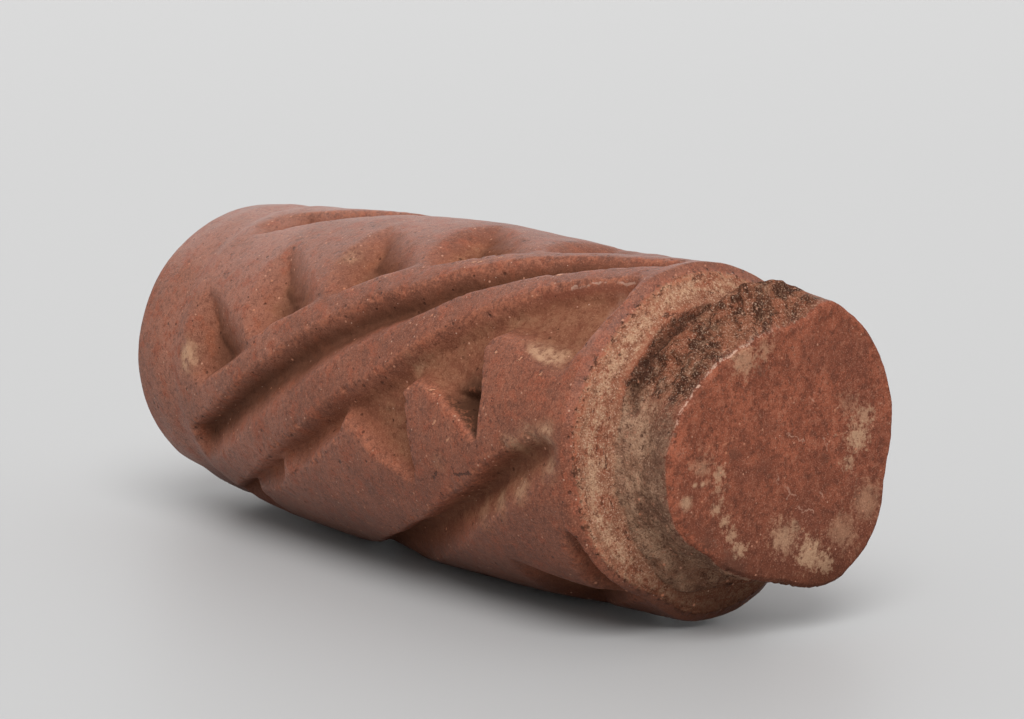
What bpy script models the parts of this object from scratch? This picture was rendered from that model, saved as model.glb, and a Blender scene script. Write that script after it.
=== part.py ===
"""A carved roller stamp of fired clay, lying on its side.

It is one solid piece: a barrel-shaped roller, carved all round with slanting ridges,
grooves and rows of triangular cuts, and a boss to hold it by at each end.
Sizes are in metres and +Z is up. The roller's axis runs along X, the offset boss is at +X,
and the origin is on the ground under the middle.
"""

import collections
import math

import bmesh
import bpy

# The roller, measured between the outer edges of its two rims
ROLLER_LENGTH = 0.0740
NEAR_RADIUS = 0.0152
BELLY_RADIUS = 0.0166
FAR_RADIUS = 0.0152

# The plain rims that the carving stops at, and the shallow channel inside the far one
NEAR_RIM_WIDTH = 0.0018
NEAR_RIM_ROUNDING = 0.0008
FAR_RIM_WIDTH = 0.0052
FAR_RIM_ROUNDING = 0.0006
FAR_CHANNEL_WIDTH = 0.0042
FAR_CHANNEL_DEPTH = 0.0004
RIM_WALL_RUN = 0.0011

# The side of the near rim that is pressed a little flat
NEAR_DENT_DEPTH = 0.0008
NEAR_DENT_ANGLE = math.radians(246)
NEAR_DENT_SPREAD = math.radians(32)
NEAR_DENT_LENGTH = 0.0060

# The slant of the carving: the length in which it would go once round the roller
HELIX_LEAD = 0.1930
CARVING_START = math.radians(31)

# The bands of one repeat, by the angle that each takes round the roller, in their order.
# The carving repeats twice in a turn, and the plain land takes what these leave of it.
REPEATS = 2
POCKET_BAND = math.radians(40)
UPPER_RIDGE = math.radians(15)
NARROW_GROOVE = math.radians(11)
LOWER_RIDGE = math.radians(13)
TROUGH = math.radians(16)
TOOTH_BAND = math.radians(35)
TOOTH_WEB = math.radians(8)
WIDE_GROOVE = math.radians(14)

# The slopes at the sides of those bands
POCKET_FOOT = math.radians(3)
TROUGH_WALL = math.radians(5)
GROOVE_WALL = math.radians(4)

# Depths below the roller's surface
NARROW_GROOVE_DEPTH = 0.0015
TROUGH_DEPTH = 0.0019
TOOTH_CUT_DEPTH = 0.0019
POCKET_DEPTH = 0.0021
WIDE_GROOVE_DEPTH = 0.0017

# The teeth and the pockets share one spacing along the axis.
# The pockets' steep sides lie the given number of cells away from the teeth's.
TOOTH_PITCH = 0.0102
FIRST_TOOTH_TIP = 0.0132
TOOTH_LEAN = 0.0013
STEEP_WALL_RUN = 0.0010
SLANT_WALL_RUN = 0.0036
CELLS_PER_TOOTH = 6
POCKET_SHIFTS = (-1, 0)

# The offset boss, a rounded square with two full corners and one broken away.
# The break is a slope, given by how deep it cuts into the boss at three places.
NEAR_BOSS_LENGTH = 0.0068
NEAR_BOSS_RADIUS = 0.0125
NEAR_BOSS_SHIFT = 0.0029
NEAR_BOSS_RISE = 0.0013
NEAR_BOSS_EDGE = 0.0005
NEAR_NECK_DEPTH = 0.0021
NEAR_NECK_OUT = 0.0019
FULL_CORNER = 0.0023
FULL_CORNER_ANGLE = math.radians(309)
SMALL_CORNER = 0.0007
SMALL_CORNER_ANGLE = math.radians(213)
CORNER_SPREAD = math.radians(42)
BREAK_ANGLE = math.radians(122)
BREAK_DEPTH_AT_FACE = 0.0032
BREAK_DEPTH_AT_EDGE = 0.0028
BREAK_DEPTH_AT_BACK = 0.0013

# The plainer boss at the far end
FAR_BOSS_LENGTH = 0.0060
FAR_BOSS_RADIUS = 0.0118
FAR_BOSS_EDGE = 0.0008
FAR_NECK_DEPTH = 0.0010
FAR_NECK_OUT = 0.0014

# The worn spot on the underside that keeps the roller from rolling away
REST_FLAT_DEPTH = 0.0004

# Fired red clay
CLAY_COLOUR = (0.215, 0.082, 0.055, 1.0)
CLAY_ROUGHNESS = 0.72
SHARP_ANGLE = math.radians(32)

OVERALL_LENGTH = NEAR_BOSS_LENGTH + ROLLER_LENGTH + FAR_BOSS_LENGTH
NEAR_RIM_X = OVERALL_LENGTH / 2 - NEAR_BOSS_LENGTH
FAR_RIM_START = ROLLER_LENGTH - FAR_RIM_WIDTH
CARVING_END = FAR_RIM_START - FAR_CHANNEL_WIDTH
REPEAT_TURN = 2 * math.pi / REPEATS
CELL = TOOTH_PITCH / CELLS_PER_TOOTH

# One line of the carving that runs the length of the roller: its angle at the near rim,
# how far it shares the teeth's lean, and its depth at each distance along the roller.
Row = collections.namedtuple("Row", "angle lean depth")


def barrel_radius(along):
    """Radius of the uncarved roller at a distance along it from the near rim's edge."""
    share = along / ROLLER_LENGTH
    near = NEAR_RADIUS * (1 - share) * (1 - 2 * share)
    belly = BELLY_RADIUS * 4 * share * (1 - share)
    far = FAR_RADIUS * share * (2 * share - 1)
    return near + belly + far


FULLEST_RADIUS = max(barrel_radius(ROLLER_LENGTH * percent / 100) for percent in range(101))
AXIS_HEIGHT = FULLEST_RADIUS - REST_FLAT_DEPTH


def ramp(value, start, end):
    """0 up to start, 1 from end, and straight between them."""
    return min(1.0, max(0.0, (value - start) / (end - start)))


def swell(angle, centre, spread):
    """A smooth swelling of 1 at the centre angle that dies out at the spread to each side."""
    away = math.remainder(angle - centre, 2 * math.pi)
    return 0.5 + 0.5 * math.cos(math.pi * away / spread) if abs(away) < spread else 0.0


def helix_turn(along):
    return CARVING_START + 2 * math.pi * along / HELIX_LEAD


def ring_point(along, angle, radius, shift=0.0, rise=0.0):
    across = radius * math.cos(angle) + shift
    up = radius * math.sin(angle) + rise
    return (NEAR_RIM_X - along, across, AXIS_HEIGHT + up)


def dent(along, angle):
    depth = NEAR_DENT_DEPTH * swell(angle, NEAR_DENT_ANGLE, NEAR_DENT_SPREAD)
    return depth * (1 - ramp(along, 0, NEAR_DENT_LENGTH))


def before_tip(along, shift):
    """How far a place lies on the near side of the next tooth tip, from 0 to one pitch."""
    return (FIRST_TOOTH_TIP + shift * CELL - along) % TOOTH_PITCH


def tooth_cut(share, along):
    """Depth between two teeth: share runs from 0 at their tips to 1 at their roots."""
    back = before_tip(along, 0)
    from_slant = back - share * TOOTH_PITCH
    from_steep = TOOTH_PITCH - back
    cut = min(from_slant / SLANT_WALL_RUN, from_steep / STEEP_WALL_RUN, 1.0)
    return TOOTH_CUT_DEPTH * max(0.0, cut)


def pocket_cut(share, along, shift):
    """Depth in the three-cornered pockets: share runs from 0 at their points to 1 at their base."""
    back = before_tip(along, shift)
    from_slant = share * TOOTH_PITCH - back
    cut = min(from_slant / SLANT_WALL_RUN, back / CELL, 1.0)
    return POCKET_DEPTH * max(0.0, cut)


def plain(depth):
    return lambda along: depth


def tooth_rule(share):
    return lambda along: tooth_cut(share, along)


def pocket_rule(share, shift):
    return lambda along: pocket_cut(share, along, shift)


def hollow_rows(start, width, wall, depth):
    """The upper edge of a groove and the two sides of its floor."""
    return [
        Row(start, 0, plain(0)),
        Row(start + wall, 0, plain(depth)),
        Row(start + width - wall, 0, plain(depth)),
    ]


def repeat_rows(shift):
    """The rows of one repeat, down the front of the roller from the pockets' points."""
    shares = [cell / CELLS_PER_TOOTH for cell in range(CELLS_PER_TOOTH)]
    foot = 1 - POCKET_FOOT / POCKET_BAND
    rows = [Row(share * POCKET_BAND, share, pocket_rule(share, shift)) for share in shares + [foot]]
    rows.append(Row(POCKET_BAND, 1, plain(0)))
    rows.append(Row(POCKET_BAND + UPPER_RIDGE / 2, 0, plain(0)))

    groove = POCKET_BAND + UPPER_RIDGE
    rows += hollow_rows(groove, NARROW_GROOVE, GROOVE_WALL, NARROW_GROOVE_DEPTH)
    ridge = groove + NARROW_GROOVE
    rows.append(Row(ridge, 0, plain(0)))
    rows.append(Row(ridge + LOWER_RIDGE / 2, 0, plain(0)))

    trough = ridge + LOWER_RIDGE
    rows += hollow_rows(trough, TROUGH, TROUGH_WALL, TROUGH_DEPTH)
    tips = trough + TROUGH
    rows += [Row(tips + share * TOOTH_BAND, share, tooth_rule(share)) for share in shares]
    roots = tips + TOOTH_BAND
    rows.append(Row(roots, 1, plain(0)))

    groove = roots + TOOTH_WEB
    rows += hollow_rows(groove, WIDE_GROOVE, GROOVE_WALL, WIDE_GROOVE_DEPTH)
    land = groove + WIDE_GROOVE
    rows += [Row(land + (REPEAT_TURN - land) * third / 3, 0, plain(0)) for third in range(3)]
    return rows


def all_rows():
    rows = []
    for repeat in range(REPEATS):
        shift = POCKET_SHIFTS[repeat % len(POCKET_SHIFTS)]
        turn = repeat * REPEAT_TURN
        rows += [row._replace(angle=row.angle + turn) for row in repeat_rows(shift)]
    return rows


def carved_stations():
    """The distances along the roller at which the carving has a section."""
    first = NEAR_RIM_WIDTH + RIM_WALL_RUN
    last = CARVING_END - RIM_WALL_RUN
    clear = CELL / 3
    places = []
    tip = FIRST_TOOTH_TIP % TOOTH_PITCH - TOOTH_PITCH
    while tip < last + TOOTH_PITCH:
        places += [tip + cell * CELL for cell in range(CELLS_PER_TOOTH)]
        places.append(tip + STEEP_WALL_RUN)
        tip += TOOTH_PITCH
    inside = sorted(place for place in places if first + clear < place < last - clear)
    return [first] + inside + [last]


def carved_section(along, rows):
    """One ring of points round the roller, cut down to the carving's depths."""
    cutting = ramp(along, NEAR_RIM_WIDTH, NEAR_RIM_WIDTH + RIM_WALL_RUN)
    cutting -= ramp(along, CARVING_END - RIM_WALL_RUN, CARVING_END)
    leaning = ramp(along, NEAR_RIM_WIDTH, NEAR_RIM_WIDTH + TOOTH_PITCH) * cutting
    section = []
    for row in rows:
        place = along - TOOTH_LEAN * row.lean * leaning
        angle = helix_turn(place) + row.angle
        radius = barrel_radius(place) - dent(place, angle) - row.depth(along) * cutting
        section.append(ring_point(place, angle, radius))
    return section


def plain_section(along, radius, rows):
    """One round ring of points, with each row where the slant of the carving brings it."""
    section = []
    for row in rows:
        angle = helix_turn(along) + row.angle
        section.append(ring_point(along, angle, radius - dent(along, angle)))
    return section


def near_boss_section(out, inset, break_depth, rows):
    """One outline of the offset boss, at a distance out from the near rim."""
    break_distance = NEAR_BOSS_RADIUS - break_depth
    section = []
    for row in rows:
        angle = CARVING_START + row.angle
        radius = NEAR_BOSS_RADIUS - inset
        radius += FULL_CORNER * swell(angle, FULL_CORNER_ANGLE, CORNER_SPREAD)
        radius += SMALL_CORNER * swell(angle, SMALL_CORNER_ANGLE, CORNER_SPREAD)
        facing_break = math.cos(angle - BREAK_ANGLE)
        if facing_break * radius > break_distance:
            radius = break_distance / facing_break
        section.append(ring_point(-out, angle, radius, NEAR_BOSS_SHIFT, NEAR_BOSS_RISE))
    return section


def near_boss_sections(rows):
    """Outlines from the boss's face back to its neck."""
    edge = NEAR_BOSS_LENGTH - NEAR_BOSS_EDGE
    back = (2 * NEAR_NECK_OUT + edge) / 3
    shift = NEAR_BOSS_SHIFT / 4
    rise = NEAR_BOSS_RISE / 4
    neck_radius = NEAR_BOSS_RADIUS - NEAR_NECK_DEPTH
    neck = []
    for row in rows:
        angle = CARVING_START + row.angle
        neck.append(ring_point(-NEAR_NECK_OUT, angle, neck_radius, shift, rise))
    return [
        near_boss_section(NEAR_BOSS_LENGTH, NEAR_BOSS_EDGE, BREAK_DEPTH_AT_FACE, rows),
        near_boss_section(edge, 0, BREAK_DEPTH_AT_EDGE, rows),
        near_boss_section(back, 0, BREAK_DEPTH_AT_BACK, rows),
        neck,
    ]


def far_boss_sections(rows):
    """Outlines from the far neck out to the face of its boss."""
    neck = ROLLER_LENGTH + FAR_NECK_OUT
    end = ROLLER_LENGTH + FAR_BOSS_LENGTH
    edge = end - FAR_BOSS_EDGE
    return [
        plain_section(neck, FAR_BOSS_RADIUS - FAR_NECK_DEPTH, rows),
        plain_section((2 * neck + edge) / 3, FAR_BOSS_RADIUS, rows),
        plain_section(edge, FAR_BOSS_RADIUS, rows),
        plain_section(end, FAR_BOSS_RADIUS - FAR_BOSS_EDGE, rows),
    ]


def rim_sections(end, inward, radius, rounding, rows):
    """A rim's rounded outer edge, from its end inwards."""
    sections = []
    for quarter in (0, 1, 2):
        lean = math.pi / 4 * quarter
        along = end + inward * rounding * (1 - math.cos(lean))
        sections.append(plain_section(along, radius - rounding * (1 - math.sin(lean)), rows))
    return sections


def all_sections():
    rows = all_rows()
    sections = near_boss_sections(rows)
    near_edge = barrel_radius(NEAR_RIM_ROUNDING)
    sections += rim_sections(0, 1, near_edge, NEAR_RIM_ROUNDING, rows)
    sections.append(carved_section(NEAR_RIM_WIDTH, rows))
    sections += [carved_section(along, rows) for along in carved_stations()]
    sections.append(carved_section(CARVING_END, rows))
    slope = FAR_CHANNEL_WIDTH / 3
    for along in (CARVING_END + slope, FAR_RIM_START - slope):
        sections.append(plain_section(along, barrel_radius(along) - FAR_CHANNEL_DEPTH, rows))
    sections.append(plain_section(FAR_RIM_START, barrel_radius(FAR_RIM_START), rows))
    far_edge = barrel_radius(ROLLER_LENGTH - FAR_RIM_ROUNDING)
    sections += reversed(rim_sections(ROLLER_LENGTH, -1, far_edge, FAR_RIM_ROUNDING, rows))
    return sections + far_boss_sections(rows)


def loft(sections):
    """A closed skin through the sections, its seams set along the slanting sides of the teeth."""
    skin = bmesh.new()
    rings = [[skin.verts.new(point) for point in section] for section in sections]
    count = len(rings[0])
    for ring, following in zip(rings, rings[1:]):
        for here in range(count):
            after = (here + 1) % count
            skin.faces.new((ring[here], ring[after], following[here]))
            skin.faces.new((ring[after], following[after], following[here]))
    skin.faces.new(rings[0])
    skin.faces.new(rings[-1])
    bmesh.ops.recalc_face_normals(skin, faces=skin.faces)
    mesh = bpy.data.meshes.new("roller_stamp")
    skin.to_mesh(mesh)
    skin.free()
    return mesh


def fired_clay():
    material = bpy.data.materials.new("fired_clay")
    material.use_nodes = True
    shader = material.node_tree.nodes["Principled BSDF"]
    shader.inputs["Base Color"].default_value = CLAY_COLOUR
    shader.inputs["Roughness"].default_value = CLAY_ROUGHNESS
    shader.inputs["Metallic"].default_value = 0.0
    material.diffuse_color = CLAY_COLOUR
    return material


def ground_slab():
    """A slab whose top is the ground, which planes the worn spot off the roller."""
    bpy.ops.mesh.primitive_cube_add(size=1, location=(0, 0, -FULLEST_RADIUS / 2))
    slab = bpy.context.active_object
    slab.name = "worn_spot_cutter"
    slab.scale = (OVERALL_LENGTH * 2, FULLEST_RADIUS * 4, FULLEST_RADIUS)
    slab.hide_render = True
    slab.display_type = "WIRE"
    return slab


for leftover in list(bpy.data.objects):
    bpy.data.objects.remove(leftover, do_unlink=True)

parts = bpy.data.collections.new("roller_stamp_parts")
cutters = bpy.data.collections.new("roller_stamp_cutters")
cutters.hide_render = True
bpy.context.scene.collection.children.link(parts)
bpy.context.scene.collection.children.link(cutters)

cutter = ground_slab()
for holder in list(cutter.users_collection):
    holder.objects.unlink(cutter)
cutters.objects.link(cutter)

roller = bpy.data.objects.new("roller_stamp", loft(all_sections()))
roller.data.shade_smooth()
roller.data.set_sharp_from_angle(angle=SHARP_ANGLE)
roller.data.materials.append(fired_clay())
parts.objects.link(roller)

worn_spot = roller.modifiers.new("worn_spot", "BOOLEAN")
worn_spot.operation = "DIFFERENCE"
worn_spot.solver = "EXACT"
worn_spot.object = cutter
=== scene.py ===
import math

import bpy
import numpy as np
from mathutils import Matrix, Vector, noise


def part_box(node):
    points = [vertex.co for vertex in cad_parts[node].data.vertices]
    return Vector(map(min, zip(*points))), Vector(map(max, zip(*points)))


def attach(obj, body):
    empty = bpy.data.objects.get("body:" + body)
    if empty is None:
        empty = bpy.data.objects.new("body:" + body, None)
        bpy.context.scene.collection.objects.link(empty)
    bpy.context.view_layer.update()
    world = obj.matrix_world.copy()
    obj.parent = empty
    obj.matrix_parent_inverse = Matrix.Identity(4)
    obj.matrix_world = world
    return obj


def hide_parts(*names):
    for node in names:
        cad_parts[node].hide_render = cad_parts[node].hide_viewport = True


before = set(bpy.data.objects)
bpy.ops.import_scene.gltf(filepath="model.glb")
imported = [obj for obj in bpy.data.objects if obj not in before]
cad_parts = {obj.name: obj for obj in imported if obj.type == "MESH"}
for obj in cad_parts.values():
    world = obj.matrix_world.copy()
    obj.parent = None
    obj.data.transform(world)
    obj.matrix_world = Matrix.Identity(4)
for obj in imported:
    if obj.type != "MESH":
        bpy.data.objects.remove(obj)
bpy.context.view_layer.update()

# The roller stamp is one lump of red clay, rolled into a barrel with a boss pinched out at each end.
# Its ridges, grooves and rows of three-cornered cuts were carved in the leather-hard clay, then it
# was burnished and fired. Use has worn the edges, and one side of the near boss has broken away.
# Lengths here are in millimetres and angles in degrees: 0 is +Y, 90 is up and 180 faces -Y.
MM = 0.001
COLUMNS = 720
ROW_STEP = 0.15
MOST_TRIANGLES = 192000

ROLLER_LENGTH = 74.0
NEAR_RADIUS = 15.2
BELLY_RADIUS = 16.5
FAR_RADIUS = 15.2
NEAR_BOSS_LENGTH = 6.8
FAR_BOSS_LENGTH = 6.0
SIDE_RADIUS = 15.8
TOP_ABOVE_AXIS = 16.6
MM_PER_DEGREE = math.radians(SIDE_RADIUS)

low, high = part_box("roller_stamp")
NEAR_RIM_X = high.x / MM - NEAR_BOSS_LENGTH
AXIS_HEIGHT = high.z / MM - TOP_ABOVE_AXIS

angle = np.arange(COLUMNS) * 360 / COLUMNS - 90
turn = np.radians(angle)


def round_table(table, passes=4):
    """Reads a table of (angle, value) at every column, with its corners softened."""
    angles, values = zip(*sorted(table))
    read = np.interp(angle, angles, values, period=360)
    for _ in range(passes):
        read = (np.roll(read, 1) + 2 * read + np.roll(read, -1)) / 4
    return read


def ramp(value, start, end):
    share = np.clip((value - start) / (end - start), 0, 1)
    return share * share * (3 - 2 * share)


def swell(away, spread):
    """A smooth bump: 1 where away is 0, and gone at the spread."""
    return 0.5 + 0.5 * np.cos(np.pi * np.clip(np.abs(away) / spread, 0, 1))


def apart(one, other):
    """The turn from one direction to another, from -180 to 180."""
    return (one - other + 180) % 360 - 180


def soften(field, passes):
    """Wears a field down: each pass evens every place out with its neighbours."""
    for _ in range(passes):
        field = (np.roll(field, 1, axis=1) + 2 * field + np.roll(field, -1, axis=1)) / 4
        padded = np.concatenate([field[:1], field, field[-1:]])
        field = (padded[:-2] + 2 * padded[1:-1] + padded[2:]) / 4
    return field


def clay_noise(points, size, seed, octaves=2):
    """Soft noise from about -1 to 1, with lumps of about the given size."""
    moved = points.reshape(-1, 3) / size + seed * 17.3
    values = [noise.fractal(point, 0.8, 2.0, octaves) for point in moved.tolist()]
    return np.array(values).reshape(points.shape[:-1])


# By direction: how far out the near rim reaches, how far along the roller it lies, how far along
# the carving starts, and how far out the far rim reaches
NEAR_RIM_REACH = (
    (63, 15.4), (81, 15.5), (92, 15.5), (107, 15.3), (121, 14.9), (134, 14.7), (147, 15.0), (156, 15.0),
    (168, 15.2), (180, 15.0), (191, 14.8), (204, 15.2), (217, 15.0), (230, 14.7), (246, 14.4),
    (254, 14.8), (261, 15.4), (268, 15.6), (286, 15.7), (296, 15.6), (304, 15.3), (330, 15.1),
    (0, 15.2),
)
NEAR_RIM_START = (
    (90, 1.3), (120, 0.8), (150, 0.45), (200, 0.0), (230, -0.3), (290, 0.2), (0, 0.9), (45, 1.2),
)
CARVING_START = (
    (45, 3.0), (90, 3.0), (100, 2.85), (112, 2.4), (120, 1.8), (130, 1.95), (140, 2.2), (150, 2.3),
    (157, 1.6), (165, 1.2), (175, 0.9), (209, 0.8), (220, 0.6), (235, 0.1), (260, 1.2), (300, 2.0),
    (0, 2.6),
)
CARVING_END = 64.4
RIM_WALL = 0.8
FAR_RIM_REACH = (
    (60, 15.3), (100, 15.5), (150, 15.6), (180, 15.6), (205, 15.3), (222, 15.0), (236, 14.4),
    (250, 15.0), (300, 15.2),
)

# Cuts are outlines on the roller's side. A corner gives the millimetres along, the degrees round
# and the run of the slope down from the edge that starts there.
NARROW_GROOVE = (
    (-1, 80, 1.3), (3, 87, 1.3), (6, 92, 1.3), (12, 101, 1.3), (17.2, 110.5, 1.3), (21.8, 121.5, 1.3),
    (27.3, 133, 1.4), (33, 141.3, 1.4), (39, 153, 1.4), (48, 170.5, 1.3), (54, 182.5, 1.2),
    (60, 194, 1.1), (63.5, 201, 1.2), (64, 216, 2.8), (60, 211.5, 3.0), (51, 195.5, 3.0),
    (42, 178.5, 2.8), (33, 160, 2.6), (27.2, 149, 2.2), (20, 133.5, 1.9), (12.7, 118.5, 1.5),
    (9, 111, 1.4), (3, 98, 1.4), (-1, 90, 1.0),
)
TROUGH_TOP = (
    (-1, 102, 1.0), (3, 109, 1.0), (6, 115, 1.0), (9.9, 121.5, 1.0), (12.6, 129, 1.1),
    (16.9, 139.5, 1.2), (22.2, 152, 1.3), (27, 163.5, 1.5), (34.5, 176.5, 1.5), (42, 191, 1.4),
    (48, 203, 1.4), (54, 214, 1.4), (60, 225, 1.4),
)
FRONT_TEETH = (
    (66, 238, 1.5), (62.5, 243, 2.2), (56, 246, 0.8), (56, 225, 1.8), (49, 217, 1.0),
    (46.3, 208.5, 2.0), (41.9, 205, 1.6), (36.7, 194.3, 1.2), (33.8, 188.5, 0.9), (32.6, 183, 1.4),
    (29.9, 187.6, 1.5), (28.1, 192.2, 1.6), (25, 195.1, 1.5), (21.8, 199.5, 0.9), (21.6, 191.5, 0.9),
    (22.3, 178.6, 0.8), (23.3, 168.8, 0.9), (21.7, 165.1, 1.1), (19.5, 167.1, 0.9), (17.1, 170.1, 0.7),
    (15.0, 173.2, 0.5), (13.4, 176.6, 0.4), (12.1, 180, 0.5), (12.1, 173.8, 0.5), (12.2, 164.5, 0.6),
    (12.8, 158, 0.8), (13.7, 150.5, 1.0), (13.4, 146.8, 1.5), (11.9, 144.6, 2.2), (10.0, 146.8, 3.0),
    (8.2, 150.6, 3.6), (5.8, 153.2, 3.8), (3.5, 154.7, 3.4), (1.5, 154, 1.0), (-1, 153, 1.0),
)
TOOTH_NOTCH = (
    (18.6, 166.5, 0.6), (12.3, 163, 0.35), (12.0, 179.8, 0.35), (13.4, 176.5, 0.4), (15.0, 173.1, 0.4),
    (17.1, 170.0, 0.5),
)
WIDE_GROOVE = (
    (1.3, 179, 1.4), (1.6, 175.0, 1.2), (3.1, 172.8, 0.7), (6.5, 177.4, 0.6), (9.7, 184.0, 0.7),
    (12.9, 192, 0.9), (17.4, 201.2, 1.0), (22.5, 210.7, 1.0), (30, 223.5, 1.1), (36, 235, 1.2),
    (45, 252, 1.5), (55, 271, 1.5), (62.5, 286, 6.0), (63.5, 296, 6.0), (62, 302, 2.6), (55, 290, 2.6),
    (45, 271, 2.6), (36, 253, 2.4), (30, 241.5, 2.3), (26, 234.5, 2.3), (19.7, 222, 2.3),
    (14.3, 211, 2.3), (9, 200.5, 2.2), (4.7, 192, 2.2), (1.8, 185, 2.2),
)
RIM_POCKET = (
    (1.7, 203.5, 0.6), (2.2, 209, 0.7), (2.8, 218.5, 0.8), (3.5, 228, 0.9), (3.5, 240, 1.0),
    (1, 246, 1.0), (-1, 246, 1.0), (-1, 212, 1.0), (0.7, 207, 0.5),
)
POCKET = (
    (0, 0, 3.6), (0.7, 8, 3.8), (0.6, 17, 3.8), (0.5, 26, 3.6), (-0.5, 34, 2.4), (-2.0, 39.3, 1.2),
    (-7.5, 29, 1.2), (-12.6, 19.5, 4.8), (-9.3, 13, 4.4), (-5.0, 6, 3.6),
)
FRONT_POCKETS = ((62.2, 145.5), (52.9, 124), (42.1, 104.5), (31.0, 87), (20.2, 66), (9.7, 47))
BACK_POCKETS = ((12.7, 221.5), (24, 243), (34, 262), (44, 281), (54, 300), (63, 318))
TROUGH_CREASE = (
    (3.6, 138.4), (9.0, 138.6), (13.9, 141.4), (14.2, 143.2), (13.0, 144.0), (9.1, 141.4), (4.4, 141.0),
)
CREASE_RUN = 0.6
CREASE_DEPTH = 0.35
NOTCH_DEPTH = 1.3

# How each kind of cut is made: its depth, how its walls curve, its soil, and its grime and painted shade
POCKET_CUT = (2.4, 1.15, 0.55, 0.45)
RIM_POCKET_CUT = (2.4, 0.7, 0.0, 1.2)
NARROW_CUT = (2.3, 1, 0.1, 0.95)
TROUGH_CUT = (2.1, 1, 0.45, 0.15)
WIDE_CUT = (2.7, 1, 0.4, 0.62)
GRIME_AND_SHADE_FROM = 0.25
WIDE_GRIME_AND_SHADE_FROM = 0.5

# Patches of pale soil: millimetres along, degrees round, how wide and how strong
SOIL_SPOTS = (
    (62.6, 174, 4.0, 0.95), (41.6, 125.5, 5.0, 0.75), (45.6, 146, 3.2, 0.6), (23.4, 159.8, 2.0, 0.8),
    (7.2, 177.6, 1.9, 0.95), (5.0, 174.2, 2.0, 1.0), (2.8, 172.6, 1.9, 1.0), (1.0, 176.5, 1.8, 0.95),
    (6.9, 191.5, 2.6, 0.82), (10.6, 199, 2.7, 0.78), (13.8, 206, 2.7, 0.65), (17.5, 189, 1.6, 0.5),
    (2.6, 183.5, 2.2, 0.85),
)

# The underside, where the carving has worn shallow
WORN_FLAT_ALONG = 40
WORN_FLAT_DIRECTION = 254


def cut_share(along, around, outline):
    """How deep a cut is: 0 at its outline, then steeply to its floor and gently on from there."""
    corners = np.array(outline)
    middle = (corners[:, 1].min() + corners[:, 1].max()) / 2
    around = apart(around, middle) + middle
    near = (along > corners[:, 0].min()) & (along < corners[:, 0].max())
    near &= (around > corners[:, 1].min()) & (around < corners[:, 1].max())
    x = along[near]
    y = around[near] * MM_PER_DEGREE
    share = np.full(x.shape, 9.0)
    inside = np.zeros(x.shape, bool)
    for (x0, a0, run), (x1, a1, _) in zip(corners, np.roll(corners, -1, axis=0)):
        y0, y1 = a0 * MM_PER_DEGREE, a1 * MM_PER_DEGREE
        dx, dy = x1 - x0, y1 - y0
        foot = np.clip(((x - x0) * dx + (y - y0) * dy) / (dx * dx + dy * dy), 0, 1)
        share = np.minimum(share, np.hypot(x - x0 - foot * dx, y - y0 - foot * dy) / run)
        if dy:
            inside ^= ((y0 > y) != (y1 > y)) & (x < dx * (y - y0) / dy + x0)
    whole = np.zeros(along.shape)
    whole[near] = (0.78 * np.clip(share, 0, 1) + 0.22 * np.clip(share / 3, 0, 1)) * inside
    return whole


def turned(outline, by):
    return [(place, degrees + by, run) for place, degrees, run in outline]


def pocket_at(place, degrees):
    return [(place + off, degrees + up, run) for off, up, run in POCKET]


def carving(along, around):
    """Depth of the carving below the roller's side, the soil in it, and its dark grime and painted shade.
    """
    cuts = [(pocket_at(*corner), POCKET_CUT) for corner in FRONT_POCKETS + BACK_POCKETS]
    cuts.append((RIM_POCKET, RIM_POCKET_CUT))
    for by in (0, 180):
        cuts.append((turned(NARROW_GROOVE, by), NARROW_CUT))
        cuts.append((turned(TROUGH_TOP + FRONT_TEETH, by), TROUGH_CUT))
        cuts.append((turned(WIDE_GROOVE, by), WIDE_CUT))
    depth, soil, grime_and_shade = np.zeros((3,) + along.shape)
    for outline, kind in cuts:
        full, curve, soiled, grime_and_shade_amount = kind
        share = cut_share(along, around, outline)
        fall = full * share ** curve
        if kind == WIDE_CUT:
            fall *= 0.45 + 0.55 * ramp(along, 1, 13)
        depth = np.maximum(depth, fall)
        soil = np.maximum(soil, soiled * ramp(share, 0.1, 0.7))
        # Pocket walls facing the far end, away from the light, and each pocket's deepest part get painted
        # shade
        if kind in (POCKET_CUT, RIM_POCKET_CUT):
            faces_far = ramp(np.gradient(fall, axis=0) / ROW_STEP, -0.1, 0.25)
            grime_and_shade_here = grime_and_shade_amount * ramp(share, 0.1, 0.5) * faces_far + 0.5 * ramp(share, 0.66, 0.76)
        else:
            # Deep in the grooves and the trough: dark grime with painted shade
            clean = WIDE_GRIME_AND_SHADE_FROM if kind == WIDE_CUT else GRIME_AND_SHADE_FROM
            grime_and_shade_here = grime_and_shade_amount * ramp(share, clean, clean + 0.4)
        grime_and_shade = np.maximum(grime_and_shade, grime_and_shade_here)
    notch = cut_share(along, around, TOOTH_NOTCH)
    depth += NOTCH_DEPTH * notch
    crease = cut_share(along, around, [(*corner, CREASE_RUN) for corner in TROUGH_CREASE])
    depth += CREASE_DEPTH * crease
    grime_and_shade *= 0.5 + 0.5 * ramp(along, 1.5, 6)
    # Painted shade along the crease in the trough
    grime_and_shade = np.maximum(grime_and_shade, 0.6 * ramp(crease, 0.1, 0.7))
    for place, degrees, spread, strength in SOIL_SPOTS:
        spot = swell(along - place, spread) * swell(apart(around, degrees) * MM_PER_DEGREE, spread)
        soil = np.maximum(soil, strength * spot ** 0.6 * (1 - 0.7 * ramp(grime_and_shade, 0.3, 0.7)))
    worn_flat = swell(apart(around, WORN_FLAT_DIRECTION), 24) * swell(along - WORN_FLAT_ALONG, 22)
    depth *= 1 - 0.7 * worn_flat
    fade = np.clip((along - round_table(CARVING_START)) / RIM_WALL, 0, 1)
    fade = fade * np.clip((CARVING_END - along) / RIM_WALL, 0, 1)
    return depth * fade, soil * fade, grime_and_shade * fade


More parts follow.
